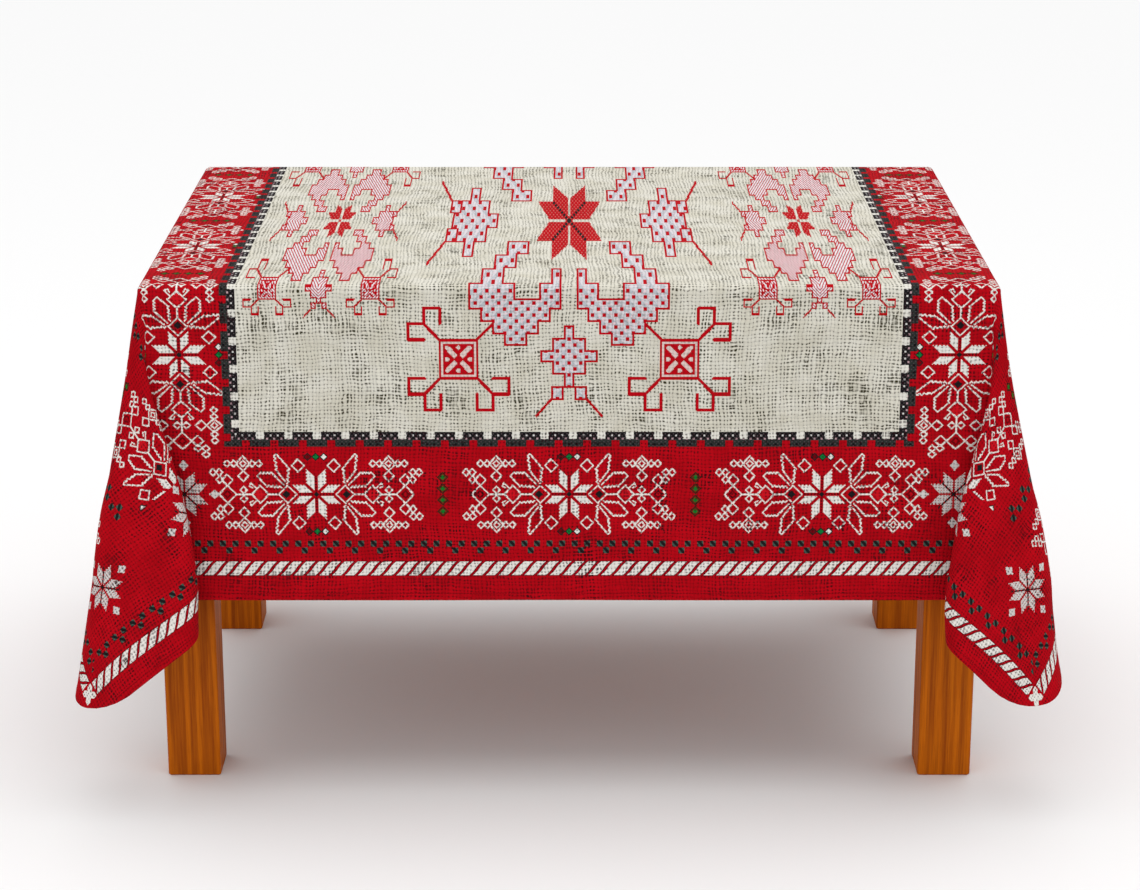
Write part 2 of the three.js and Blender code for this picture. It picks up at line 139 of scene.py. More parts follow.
class Lobe:
    def __init__(self, side, tip, lean, opening, folds):
        self.side, self.tip, self.lean, self.opening = side, tip, lean, opening
        self.points, self.length, self.ends, self.knots = walk(folds)
        self.folds = folds

    def open_swing(self, theta):
        return np.c_[self.lean * smooth((90 - theta) / 30) * smooth(theta / 62),
                     self.lean * 0.85 * smooth(theta / 30) * smooth((90 - theta) / 62)]

    def hang(self, swing):
        s = np.radians(swing)
        d = np.hypot(s[:, 0], s[:, 1])
        f = np.where(d > 1e-9, np.sin(d) / np.maximum(d, 1e-9), 1.0)
        return np.c_[s[:, 0] * f, s[:, 1] * f, -np.cos(d)]

    def out(self, theta):
        t = np.radians(theta)
        return np.c_[np.sin(t), np.cos(t), 0 * t]

    def bend_length(self, theta):
        return BEND_RADIUS * np.arccos(np.clip(np.sum(self.out(theta) * self.hang(self.open_swing(theta)), 1), -1, 1))

    def hem(self, theta):
        t = np.radians(theta)
        c = CLOTH_DROP - self.tip
        along = c * (np.sin(t) + np.cos(t))
        arc = along + np.sqrt(np.maximum(along * along - 2 * c * c + self.tip**2, 0))
        limit = math.degrees(math.atan2(c, CLOTH_DROP))
        return np.where((theta > limit) & (theta < 90 - limit), arc, CLOTH_DROP / np.maximum(np.sin(t), np.cos(t)))

    def place(self, theta, rho):
        l = curve(self.knots, self.ends, theta)
        full = np.c_[np.interp(l, self.length, self.points[:, 0]), np.interp(l, self.length, self.points[:, 1])]
        opened = self.open_swing(theta)
        share = curve(*zip(*self.opening), rho)[:, None]
        g = self.hang((1 - np.minimum(share, 1)) * opened + share * full)
        g0, o = self.hang(opened), self.out(theta)
        cosine = np.sum(o * g0, 1)
        bend = np.arccos(np.clip(cosine, -1, 1))
        n = (g0 - cosine[:, None] * o) / np.sin(bend)[:, None]
        a = np.minimum(rho, BEND_RADIUS * bend) / BEND_RADIUS
        p = (BEND_RADIUS * (np.sin(a)[:, None] * o + (1 - np.cos(a))[:, None] * n)
             + np.maximum(rho - BEND_RADIUS * bend, 0)[:, None] * g)
        t = np.radians(theta)
        sx, sy = self.side
        return (np.c_[sx * (BEND_X + p[:, 0]), sy * (BEND_Y + p[:, 1]), CLOTH_LEVEL + p[:, 2]],
                np.c_[sx * (BEND_X + rho * np.sin(t)), sy * (BEND_Y + rho * np.cos(t))])


def wave(along, down, seed):
    """Soft, uneven swells of a hanging panel: outwards only, nothing at the table edge, most at the hem."""
    w = (np.sin(along / 143.0 + seed) + 0.7 * np.sin(along / 61.0 + 2.3 * seed + down / 260.0)
         + 0.45 * np.sin(along / 231.0 - 1.7 * seed)) / 2.15
    return 2.6 * (0.5 + 0.5 * w) * smooth((down - 30) / 400)


def panel(along, a, axis, sign):
    """A hanging panel, a millimetres of cloth beyond the start of the bend."""
    bend = BEND_RADIUS * math.pi / 2
    t = np.minimum(a, bend) / BEND_RADIUS
    half = BEND_X if axis == "y" else BEND_Y
    out = BEND_RADIUS * np.sin(t) + wave(along, a, sign * (1.3 if axis == "y" else 2.9)) * smooth((half - np.abs(along)) / 170)
    down = BEND_RADIUS * (1 - np.cos(t)) + np.maximum(a - bend, 0)
    z = CLOTH_LEVEL - down
    if axis == "y":
        return np.c_[along, sign * (BEND_Y + out), z], np.c_[along, sign * (BEND_Y + a)]
    return np.c_[sign * (BEND_X + out), along, z], np.c_[sign * (BEND_X + a), along]


def build_cloth():
    bend_steps = 6
    start = BEND_RADIUS * math.pi / 2
    field_share = (FIELD_V - BEND_Y - start) / (CLOTH_DROP - HEM_WIDTH - 6 - start)
    drop_shares = np.r_[np.linspace(0, field_share, 17)[1:], np.linspace(field_share, 1, 19)[1:]]
    hem_rows = (HEM_WIDTH + 1.5, HEM_WIDTH - 1.0, 2.2, 0.6)

    def rows(bend, hem):
        body = bend + drop_shares * (hem - HEM_WIDTH - 6 - bend)
        return np.r_[bend * np.arange(bend_steps + 1) / bend_steps, body, hem - np.array(hem_rows), hem]

    patches = []

    def patch(points, flats, n, m, flip):
        patches.append((points.reshape(n, m, 3), flats.reshape(n, m, 2), flip))

    xs = np.r_[np.linspace(-BEND_X, -FIELD_U, 8)[:-1], np.linspace(-FIELD_U, FIELD_U, 47), np.linspace(FIELD_U, BEND_X, 8)[1:]]
    ys = np.linspace(-BEND_Y, BEND_Y, 41)
    X, Y = np.meshgrid(xs, ys)
    patch(np.c_[X.ravel(), Y.ravel(), np.full(X.size, CLOTH_LEVEL)], np.c_[X.ravel(), Y.ravel()], len(ys), len(xs), False)
    straight = rows(BEND_RADIUS * math.pi / 2, CLOTH_DROP)
    for sign in (-1, 1):
        U, A = np.meshgrid(xs, straight)
        patch(*panel(U.ravel(), A.ravel(), "y", sign), len(straight), len(xs), sign < 0)
        U, A = np.meshgrid(ys, straight)
        patch(*panel(U.ravel(), A.ravel(), "x", sign), len(straight), len(ys), sign > 0)
    for spec in LOBES.values():
        lobe = Lobe(**spec)
        theta = [0.0]
        for i, (_, run, turn, _, _) in enumerate(lobe.folds):
            n = 9 if run else int(math.ceil(abs(turn) / 11.5))
            a, b = lobe.knots[i], lobe.knots[i + 1]
            theta += list(a + (b - a) * np.arange(1, n + 1) / n)
        theta = np.array(theta)
        bends, hems = lobe.bend_length(theta), lobe.hem(theta)
        R = np.array([rows(b, h) for b, h in zip(bends, hems)]).T
        T = np.broadcast_to(theta, R.shape)
        p, f = lobe.place(T.ravel(), R.ravel())
        patch(p, f, *R.shape, spec["side"][0] * spec["side"][1] < 0)

    allp = np.concatenate([p.reshape(-1, 3) for p, _, _ in patches])
    allf = np.concatenate([f.reshape(-1, 2) for _, f, _ in patches])
    _, first, back = np.unique(np.round(allf * 100).astype(np.int64), axis=0, return_index=True, return_inverse=True)
    back = back.ravel()
    mid, flat = allp[first], allf[first]
    faces, base = [], 0
    for p, _, flip in patches:
        n, m = p.shape[:2]
        idx = back[base:base + n * m].reshape(n, m)
        q = np.stack([idx[:-1, :-1], idx[:-1, 1:], idx[1:, 1:], idx[1:, :-1]], -1).reshape(-1, 4)
        faces.append(q[:, ::-1] if flip else q)
        base += n * m
    quads = np.concatenate(faces)
    tris = [q[[i for i in range(4) if q[i] != q[i - 1]]] for q in quads if len(set(q)) == 3]
    quads = np.array([q for q in quads if len(set(q)) == 4])

    normal = np.zeros_like(mid)
    for cell in (quads, np.array(tris)):
        k = cell.shape[1]
        for c in range(k):
            a, b, d = mid[cell[:, c]], mid[cell[:, (c + 1) % k]], mid[cell[:, c - 1]]
            n = np.cross(b - a, d - a)
            ln = np.linalg.norm(n, axis=1, keepdims=True)
            ang = np.arctan2(ln[:, 0], np.sum((b - a) * (d - a), 1))[:, None]
            np.add.at(normal, cell[:, c], n / np.maximum(ln, 1e-9) * ang)
    normal /= np.maximum(np.linalg.norm(normal, axis=1, keepdims=True), 1e-9)

    # distance to the hem in the flat cloth, with its rounded corners
    ax, ay = np.abs(flat[:, 0]), np.abs(flat[:, 1])
    tip = np.array([[LOBES["back_left"]["tip"] if y > 0 and x < 0 else LOBES["back_right"]["tip"] if y > 0 else LOBES["front_left"]["tip"] if x < 0 else LOBES["front_right"]["tip"]] for x, y in flat])[:, 0]
    cx, cy = HALF_LENGTH - tip, HALF_WIDTH - tip
    d = np.minimum(HALF_LENGTH - ax, HALF_WIDTH - ay)
    round_corner = (ax > cx) & (ay > cy)
    d = np.where(round_corner, tip - np.hypot(ax - cx, ay - cy), d)
    hem = HEM_EXTRA * smooth((HEM_WIDTH + 1.0 - d) / 2.0)
    edge = np.sqrt(np.clip(1 - np.clip(1 - d / 0.9, 0, 1) ** 2, 0, 1))
    t_out = (CLOTH_THICKNESS / 2 + hem * 0.55) * (0.35 + 0.65 * edge)
    t_in = (CLOTH_THICKNESS / 2 + hem * 0.45) * (0.35 + 0.65 * edge)
    outer = mid + normal * t_out[:, None]
    inner = mid - normal * t_in[:, None]

    n = len(mid)
    polys = [list(map(int, q)) for q in quads] + [list(map(int, t)) for t in tris]
    edges = {}
    for poly in polys:
        for i, v in enumerate(poly):
            edges[(poly[i - 1], v)] = True
    rim = [(a, b) for a, b in edges if (b, a) not in edges]
    loops = polys + [[v + n for v in reversed(p)] for p in polys] + [[b, a, a + n, b + n] for a, b in rim]
    verts = (np.concatenate([outer, inner]) * MM + np.array([CENTRE.x, CENTRE.y, 0.0]))
    mesh = bpy.data.meshes.new("tablecloth")
    mesh.from_pydata(verts.tolist(), [], loops)
    uv = mesh.uv_layers.new(name="flat_cloth")
    vi = np.zeros(len(mesh.loops), np.int32)
    mesh.loops.foreach_get("vertex_index", vi)
    flat2 = np.concatenate([flat, flat])[vi] * MM
    uv.data.foreach_set("uv", flat2.astype(np.float32).ravel())
    middle = np.array([np.mean(flat[p], axis=0) for p in polys])
    slots = np.full(len(loops), 2, np.int32)
    slots[:len(polys)] = np.where((np.abs(middle[:, 0]) < FIELD_U) & (np.abs(middle[:, 1]) < FIELD_V), 0, 1)
    mesh.polygons.foreach_set("material_index", slots)
    mesh.polygons.foreach_set("use_smooth", np.ones(len(loops), bool))
    mesh.update()
    mesh.validate()
    piece = bpy.data.objects.new("tablecloth", mesh)
    bpy.context.scene.collection.objects.link(piece)
    print("cloth triangles", sum(len(p) - 2 for p in loops))
    return piece


cloth = build_cloth()

# ------------------------------------------------------------------ node helpers


class Nodes:
    """Short names for the nodes of one material or node group."""

    def __init__(self, tree):
        self.tree = tree

    def new(self, kind, **settings):
        n = self.tree.nodes.new(kind)
        for k, v in settings.items():
            setattr(n, k, v)
        return n

    def link(self, a, b):
        self.tree.links.new(a, b)

    def feed(self, socket, value):
        if isinstance(value, bpy.types.NodeSocket):
            self.link(value, socket)
        elif value is not None:
            socket.default_value = value

    def math(self, op, a, b=None, c=None, clamp=False):
        n = self.new("ShaderNodeMath", operation=op, use_clamp=clamp)
        for s, v in zip(n.inputs, (a, b, c)):
            self.feed(s, v)
        return n.outputs[0]

    def add(self, a, b): return self.math("ADD", a, b)
    def sub(self, a, b): return self.math("SUBTRACT", a, b)
    def mul(self, a, b): return self.math("MULTIPLY", a, b)
    def fit(self, a, b, c): return self.math("MULTIPLY_ADD", a, b, c)      # a b + c
    def absolute(self, a): return self.math("ABSOLUTE", a)
    def sin(self, a): return self.math("SINE", a)
    def floor(self, a): return self.math("FLOOR", a)
    def less(self, a, b): return self.math("LESS_THAN", a, b)
    def more(self, a, b): return self.math("GREATER_THAN", a, b)
    def low(self, a, b): return self.math("MINIMUM", a, b)
    def high(self, a, b): return self.math("MAXIMUM", a, b)
    def both(self, a, b): return self.math("MULTIPLY", a, b)
    def either(self, a, b): return self.math("MAXIMUM", a, b)
    def no(self, a): return self.math("SUBTRACT", 1.0, a)
    def at(self, x, where, reach): return self.math("COMPARE", x, where, reach)
    def wrap(self, x, pitch): return self.math("FLOORED_MODULO", x, pitch)
    def off(self, x, pitch): return self.math("PINGPONG", x, pitch / 2)    # how far from the nearest multiple

    def pick(self, share, a, b):
        """a where share is 0, b where it is 1: plain numbers."""
        n = self.new("ShaderNodeMix", data_type="FLOAT")
        self.feed(n.inputs[0], share)
        self.feed(n.inputs[2], a)
        self.feed(n.inputs[3], b)
        return n.outputs[0]

    def mix(self, share, a, b, kind="MIX"):
        n = self.new("ShaderNodeMix", data_type="RGBA", blend_type=kind)
        self.feed(n.inputs[0], share)
        self.feed(n.inputs[6], a)
        self.feed(n.inputs[7], b)
        return n.outputs[2]

    def noise(self, vector, scale, detail=2.0, rough=0.5, distortion=0.0, flat=False):
        n = self.new("ShaderNodeTexNoise", noise_dimensions="2D" if flat else "3D")
        self.feed(n.inputs["Vector"], vector)
        n.inputs["Scale"].default_value = scale
        n.inputs["Detail"].default_value = detail
        n.inputs["Roughness"].default_value = rough
        n.inputs["Distortion"].default_value = distortion
        return n.outputs["Fac"]

    def random(self, x):
        n = self.new("ShaderNodeTexWhiteNoise", noise_dimensions="1D")
        self.feed(n.inputs["W"], x)
        return n.outputs["Value"]

    def xyz(self, x, y, z=0.0):
        n = self.new("ShaderNodeCombineXYZ")
        for s, v in zip(n.inputs, (x, y, z)):
            self.feed(s, v)
        return n.outputs[0]

    def parts(self, vector):
        n = self.new("ShaderNodeSeparateXYZ")
        self.link(vector, n.inputs[0])
        return n.outputs

    def ramp(self, x, stops):
        n = self.new("ShaderNodeValToRGB")
        e = n.color_ramp.elements
        while len(e) < len(stops):
            e.new(0.5)
        for el, (at, colour) in zip(e, stops):
            el.position, el.color = at, colour
        self.link(x, n.inputs[0])
        return n.outputs[0]

    def remap(self, x, a, b, c, d):
        n = self.new("ShaderNodeMapRange")
        self.link(x, n.inputs[0])
        for s, v in zip(n.inputs[1:5], (a, b, c, d)):
            s.default_value = v
        return n.outputs[0]

    def use(self, group, *values):
        n = self.new("ShaderNodeGroup")
        n.node_tree = group
        for s, v in zip(n.inputs, values):
            self.feed(s, v)
        return list(n.outputs)


def material(name):
    m = bpy.data.materials.new(name)
    m.use_nodes = True
    m.node_tree.nodes.clear()
    return m, Nodes(m.node_tree)


def finish_material(k, colour, rough, height, strength, distance, specular=0.3, sheen=0.0):
    bsdf = k.new("ShaderNodeBsdfPrincipled")
    k.feed(bsdf.inputs["Base Color"], colour)
    k.feed(bsdf.inputs["Roughness"], rough)
    bsdf.inputs["Specular IOR Level"].default_value = specular
    if sheen:
        bsdf.inputs["Sheen Weight"].default_value = sheen
        bsdf.inputs["Sheen Roughness"].default_value = 0.5
    bump = k.new("ShaderNodeBump")
    bump.inputs["Strength"].default_value = strength
    bump.inputs["Distance"].default_value = distance
    k.link(height, bump.inputs["Height"])
    k.link(bump.outputs[0], bsdf.inputs["Normal"])
    k.link(bsdf.outputs[0], k.new("ShaderNodeOutputMaterial").inputs[0])


# ------------------------------------------------------------------ stitch charts
# A chart is a small grid of stitches that the functions below draw by rule. A node group holds it: each row of stitches
# is a stop of a colour ramp, and each channel of the stop is a whole number whose binary digits are the row's stitches.

ROWS_HELD, DIGITS = 30, 20


def chart_group(name, planes):
    """A node group that takes a column and a row, and gives 1 for each plane that has a stitch there."""
    height, width = planes[0].shape
    blocks, ramps = -(-height // ROWS_HELD), -(-width // (3 * DIGITS))
    tree = bpy.data.node_groups.new(name, "ShaderNodeTree")
    k = Nodes(tree)
    for label in ("column", "row"):
        tree.interface.new_socket(label, in_out="INPUT", socket_type="NodeSocketFloat")
    for i in range(len(planes)):
        tree.interface.new_socket("stitch_%d" % i, in_out="OUTPUT", socket_type="NodeSocketFloat")
    start, end = k.new("NodeGroupInput"), k.new("NodeGroupOutput")
    held = []
    for plane in planes:                       # the ramps first, while the group is small
        for b in range(blocks):
            for g in range(ramps):
                n = k.new("ShaderNodeValToRGB")
                n.color_ramp.interpolation = "CONSTANT"
                e = n.color_ramp.elements
                e[0].color = (0, 0, 0, 1)
                e[1].position = (ROWS_HELD + 1) / 32
                e[1].color = (0, 0, 0, 1)
                for r in range(ROWS_HELD):
                    line = plane[b * ROWS_HELD + r] if b * ROWS_HELD + r < height else np.zeros(width, bool)
                    value = []
                    for c in range(3):
                        first = (3 * g + c) * DIGITS
                        value.append(sum(1 << i for i, s in enumerate(line[first:first + DIGITS]) if s) / float(1 << DIGITS))
                    stop = e.new((r + 1) / 32)
                    stop.color = (*value, 1.0)
                held.append(n)
    column, row = start.outputs[0], start.outputs[1]
    inside = k.both(k.both(k.more(column, -0.001), k.less(column, float(width))),
                    k.both(k.more(row, -0.001), k.less(row, float(height))))
    column, row = k.floor(column), k.floor(row)
    channel = k.floor(k.mul(k.add(column, 0.5), 1.0 / DIGITS))
    power = k.math("POWER", 2.0, k.sub(column, k.mul(channel, float(DIGITS))))
    picks = [k.xyz(*[k.at(channel, float(3 * g + c), 0.4) for c in range(3)]) for g in range(ramps)]
    where = []
    for p in range(len(planes)):
        total = None
        for b in range(blocks):
            place = k.fit(row, 1.0 / 32, (1.5 - ROWS_HELD * b) / 32) if p == 0 else where[b]
            if p == 0:
                where.append(place)
            for g in range(ramps):
                n = held[(p * blocks + b) * ramps + g]
                k.link(place, n.inputs[0])
                d = k.new("ShaderNodeVectorMath", operation="DOT_PRODUCT")
                k.link(n.outputs[0], d.inputs[0])
                k.link(picks[g], d.inputs[1])
                total = d.outputs["Value"] if total is None else k.add(total, d.outputs["Value"])
        shifted = k.floor(k.math("DIVIDE", k.fit(total, float(1 << DIGITS), 0.5), power))
        k.link(k.both(k.more(k.wrap(shifted, 2.0), 0.5), inside), end.inputs[p])
    return tree


class Chart:
    """A quarter of a motif: x along it and y across it, from its middle, in millimetres."""

    def __init__(self, width, height, stitch):
        cols, rows = int(math.ceil(width / stitch)), int(math.ceil(height / stitch))
        self.x, self.y = np.meshgrid((np.arange(cols) + 0.5) * stitch, (np.arange(rows) + 0.5) * stitch)
        self.on = np.zeros(self.x.shape, bool)

    def line(self, x0, y0, x1, y1, thick=2.8):
        px, py, dx, dy = self.x - x0, self.y - y0, x1 - x0, y1 - y0
        t = np.clip((px * dx + py * dy) / max(dx * dx + dy * dy, 1e-9), 0, 1)
        self.on |= np.hypot(px - t * dx, py - t * dy) < thick / 2

    def path(self, points, thick=2.8):
        for (a, b), (c, d) in zip(points, points[1:]):
            self.line(a, b, c, d, thick)

    def diamond(self, cx, cy, half, tall=None, thick=2.8, filled=False):
        tall = tall or half
        if filled:
            self.on |= np.abs(self.x - cx) / half + np.abs(self.y - cy) / tall < 1
        else:
            self.path([(cx - half, cy), (cx, cy + tall), (cx + half, cy), (cx, cy - tall), (cx - half, cy)], thick)

    def teeth(self, x0, y0, x1, y1, depth, count, thick=2.8):
        ux, uy = (x1 - x0) / count, (y1 - y0) / count
        length = math.hypot(ux, uy)
        nx, ny = -uy / length * depth, ux / length * depth
        points = [(x0, y0)]
        for i in range(count):
            points += [(x0 + ux * (i + 0.5) + nx, y0 + uy * (i + 0.5) + ny), (x0 + ux * (i + 1), y0 + uy * (i + 1))]
        self.path(points, thick)

    def star(self, reach, tall, width, gap=2.0):
        """Two petals of an eight-pointed star, with stitched edges."""
        x, y = self.x, self.y
        saw = 0.9 * (np.floor(y / 2.6) % 2)
        self.on |= (x > gap / 2) & (x < width - saw) & (y > x + gap * 0.7) & (y < tall * 0.62 + x * (tall * 0.38) / width)
        saw = 0.9 * (np.floor(x / 2.6) % 2)
        self.on |= (y > gap / 2) & (y < width - saw) & (x > y + gap * 0.7) & (x < reach * 0.62 + y * (reach * 0.38) / width)


MOTIF_STITCH = 1.3


def border_motif():
    c = Chart(156, 62.4, MOTIF_STITCH)
    c.star(34.0, 38.5, 14.0, 4.2)
    t = 2.1
    c.diamond(41, 0, 12.5, 13.5, t)                            # beside the star
    c.line(53, 0, 68, 0, t)
    c.diamond(80, 0, 12, 13.5, t)
    c.path([(85, 9), (93, 17), (95, 12), (91, 10)], t)
    c.line(92, 0, 114, 0, t)
    c.diamond(103.5, 6.5, 4.6, 5.2, t)
    c.diamond(126.5, 0, 12.2, 13.5, t)
    c.diamond(126.5, 21.5, 7.8, 8.4, t)
    for x, y in ((137.5, 22), (137.5, 33), (146.5, 33)):
        c.diamond(x, y, 4.8, 5.6, t)
    c.diamond(103.5, 27.5, 7.2, 8.0, t)
    c.diamond(103.5, 46, 10, 11, t)
    c.diamond(103.5, 46, 4.4, 5.0, t)
    for x in (81, 90.5, 116.5, 126):
        c.diamond(x, 46, 4.6, 5.2, t)
    c.diamond(25.5, 43, 8.8, 9.6, t)                           # over the star's shoulder
    c.teeth(42, 16, 40, 41, 2.4, 4, t)                         # a leaf that stands
    c.path([(40, 41), (55.5, 60), (59.5, 57)], t)
    c.teeth(59.5, 57, 57, 37, -2.4, 3, t)
    c.line(57, 37, 44, 19, t)
    c.line(46, 14, 62, 31, t)                                  # a leaf that lies
    c.teeth(62, 31, 80, 31, 2.4, 4, t)
    c.path([(80, 31), (83.5, 27), (70, 11.5)], t)
    c.teeth(70, 11.5, 49, 9.5, -2.4, 4, t)
    return c.on


def corner_star():
    c = Chart(54, 54, MOTIF_STITCH)
    c.star(32.0, 32.0, 15.0, 2.6)
    c.on &= ~((np.floor(c.x / MOTIF_STITCH) % 3 == 1) & (np.floor(c.y / MOTIF_STITCH) % 3 == 1))
    c.diamond(0, 43, 7.0, 8.0, filled=True)
    c.diamond(43, 0, 8.0, 7.0, filled=True)
    return c.on


# The centre medallion is drawn in its own units, ACROSS and DOWN millimetres each on the hanging cloth. On the table's
# top it is drawn taller, because it fills half of the top's depth with TOP_UNITS of them.
ACROSS, DOWN, TOP_UNITS = 1.4, 1.487, 55.5
EDGE = BEND_Y + 7.0                      # the cloth passes over the table's edge here
TOP_ROWS = 48
LARGE_STITCH, SMALL_STITCH = 1.5, 1.9
SMALL, SMALL_AT = 0.464, 350.0           # the small medallions: scale, and where they are


def rim_of(mask, down, across):
    """The stitches of a shape that are within so many of its edge."""
    h, w = mask.shape
    padded = np.pad(mask, ((down, down), (across, across)), mode="symmetric")
    inner = mask.copy()
    for i in range(-down, down + 1):
        for j in range(-across, across + 1):
            inner &= padded[down + i:down + i + h, across + j:across + j + w]
    return mask & ~inner


def medallion(scale, width, rows_drop, stitch, thick):
    """The red stitches and the filled stitches of a quarter of a medallion."""
    y = np.r_[(np.arange(TOP_ROWS) + 0.5) * TOP_UNITS / TOP_ROWS, TOP_UNITS + (np.arange(rows_drop) + 0.5) * stitch / DOWN] / scale
    x = (np.arange(width) + 0.5) * stitch / ACROSS / scale
    x, y = np.meshgrid(x, y)
    red, fill = np.zeros(x.shape, bool), np.zeros(x.shape, bool)
    hanging = (np.arange(len(x)) >= TOP_ROWS)[:, None]

    def shape(mask):
        nonlocal red, fill
        rim = np.where(hanging, rim_of(mask, thick, thick), rim_of(mask, 1, thick))
        red = (red & ~mask) | rim
        fill = (fill & ~mask) | (mask & ~rim)

    def line(x0, y0, x1, y1, t=3.3):
        nonlocal red
        if scale < 1:
            t = 3.6
        px, py, dx, dy = x - x0, y - y0, x1 - x0, y1 - y0
        s = np.clip((px * dx + py * dy) / max(dx * dx + dy * dy, 1e-9), 0, 1)
        red |= np.hypot(px - s * dx, py - s * dy) < t / 2

    step = 11.7                                               # a crescent: an eight-step lozenge with a bite
    c, r = np.floor((x - 7) / step), np.floor((y - 18) / (step + 0.1))
    lozenge = (np.abs(c - 3.5) + np.abs(r - 3.5) <= 4) & (c >= 0)
    bite = (np.abs(c - 2.5) + np.abs(r - 2) <= 1.5)
    shape((lozenge & ~bite) | ((c == 0) & (r == 2)))
    c, r = np.floor(x / 11.7 + 0.5), np.floor((y - 116) / 12.3)   # the finial below
    shape((np.abs(c) + np.abs(r) <= 2) & (x < 30))
    shape((x > 5.5) & (x < 18.5) & (y > 151) & (y < 165))
    line(18.5, 165, 33, 181, 2.6)
    c, r = np.floor((x - 99.4) / 12.0), np.floor(y / 13.0 + 0.5)  # the finial beside
    shape((np.abs(c) + np.abs(r) <= 2) & (c > -3) & (x > 77) & (x < 127))
    shape((x > 119) & (x < 132) & (y > 7) & (y < 20))
    line(132, 20, 146, 38, 2.6)
    dx, dy = np.abs(x - 111), np.abs(y - 125)                 # the square between them
    far = np.maximum(dx, dy)
    square = far < 19.8
    ring = (far > 15.2) & (far < 17.4)
    petals = (far < 12) & (np.abs(dx - dy) < 3.2) & (dx + dy > 5)
    seeds = (far < 14) & ((np.hypot(dx - 11.2, dy - 11.2) < 2.1) | (np.hypot(dx - 11.5, dy) < 2.2) | (np.hypot(dx, dy - 11.5) < 2.2))
    red = (red & ~square) | (square & ~ring & ~petals & ~seeds)
    fill = (fill & ~square) | (square & (ring | petals | seeds))
    line(77, 91, 92, 105.5, 2.8)
    for sx, sy in ((1, 1), (-1, 1), (1, -1)):
        a, b = 111 + sx * 19.5, 125 + sy * 19.5
        e, f = a + sx * 15, b + sy * 15
        line(a, b, e, f)
        line(e, f, e + sx * 16, f)
        line(e + sx * 16, f, e + sx * 16, f - sy * 15.5)
        line(e + sx * 16, f - sy * 15.5, e, f - sy * 15.5)
        line(e, f, e, f + sy * 15.5)
        line(e, f + sy * 15.5, e - sx * 16, f + sy * 15.5)
        line(e - sx * 16, f + sy * 15.5, e - sx * 16, f)
    petal = (x > 1.6) & (x < 18.2) & (y >= x) & (y < 21 + x * 0.76)           # the star, its petals touching on the slant
    petal |= (y > 1.6) & (y < 18.2) & (x >= y) & (x < 21 + y * 0.76)
    red |= petal | (x + y < 5)
    fill &= ~petal
    return red, fill


# ------------------------------------------------------------------ the print and the weave

RED = (0.50, 0.0015, 0.008, 1.0)
MID_RED = (0.41, 0.001, 0.006, 1.0)
DEEP_RED = (0.16, 0.001, 0.004, 1.0)
BLACK = (0.012, 0.013, 0.014, 1.0)
WHITE = (0.83, 0.80, 0.75, 1.0)
GREEN = (0.004, 0.20, 0.04, 1.0)
PITCH = 5.4                              # of the weave


def flat_place(k):
    """Where a point is in the flat cloth, in millimetres from its middle."""
    uv = k.new("ShaderNodeUVMap", uv_map="flat_cloth")
    px, py, _ = k.parts(uv.outputs[0])
    return k.mul(px, 1000.0), k.mul(py, 1000.0)


def weave_group():
    """A coarse plain weave of uneven threads: how open it is here, how light (a random tone for each thread, plus
    painted shade that darkens each thread away from its crown), and how high.
    """
    tree = bpy.data.node_groups.new("plain_weave", "ShaderNodeTree")
    k = Nodes(tree)
    for label in ("x", "y"):
        tree.interface.new_socket(label, in_out="INPUT", socket_type="NodeSocketFloat")
    for label in ("hole", "thread_shade_and_tone", "height"):
        tree.interface.new_socket(label, in_out="OUTPUT", socket_type="NodeSocketFloat")
    start, end = k.new("NodeGroupInput"), k.new("NodeGroupOutput")
    x, y = start.outputs[0], start.outputs[1]
    xs = k.fit(k.sin(k.fit(y, 0.023, k.mul(x, 0.0051))), 2.7, k.fit(k.sin(k.fit(x, 0.39, 0.9)), 0.55, x))
    ys = k.fit(k.sin(k.fit(x, 0.019, k.mul(y, 0.0043))), 2.9, k.fit(k.sin(k.fit(y, 0.43, 2.1)), 0.50, y))
    drift = k.noise(k.xyz(x, y), 0.05, 2.0, 0.6, flat=True)
    drift_2 = k.noise(k.xyz(k.add(y, 517.0), x), 0.05, 2.0, 0.6, flat=True)
    xs, ys = k.fit(drift, 5.5, xs), k.fit(drift_2, 5.5, ys)
    dense = k.noise(k.xyz(k.add(x, 90.0), y), 0.021, 3.0, 0.65, flat=True)
    openness = k.remap(dense, 0.34, 0.66, 0.17, 0.62)
    xs, ys = k.mul(xs, 1.0 / PITCH), k.mul(ys, 1.0 / PITCH)
    col, row = k.floor(xs), k.floor(ys)
    warp, weft = k.absolute(k.sin(k.mul(xs, math.pi))), k.absolute(k.sin(k.mul(ys, math.pi)))
    rc, rr = k.random(col), k.random(k.add(row, 731.0))
    gap_x = k.math("ADD", k.mul(k.sub(k.fit(rc, 0.40, openness), warp), 3.4), 0.5, clamp=True)
    gap_y = k.math("ADD", k.mul(k.sub(k.fit(rr, 0.40, openness), weft), 3.4), 0.5, clamp=True)
    spot = k.new("ShaderNodeTexWhiteNoise", noise_dimensions="2D")
    k.link(k.xyz(col, row), spot.inputs["Vector"])
    # where the weave's gaps open; the materials paint these dark, as painted shade seen through the cloth
    hole = k.math("MULTIPLY", k.both(gap_x, gap_y), k.fit(spot.outputs["Value"], 1.15, 0.25), clamp=True)
    odd = k.wrap(k.add(col, row), 2.0)
    thread = k.pick(odd, k.mul(weft, k.fit(warp, 0.45, 0.55)), k.mul(warp, k.fit(weft, 0.45, 0.55)))
    # painted shade: each thread lighter at its crown and darker where it dips, plus a random tone for each thread
    thread_shade_and_tone = k.fit(thread, 0.20, k.fit(k.add(rc, rr), 0.06, 0.76))
    k.link(hole, end.inputs[0])
    k.link(thread_shade_and_tone, end.inputs[1])
    k.link(k.sub(thread, k.mul(hole, 0.6)), end.inputs[2])
    return tree


WEAVE = weave_group()


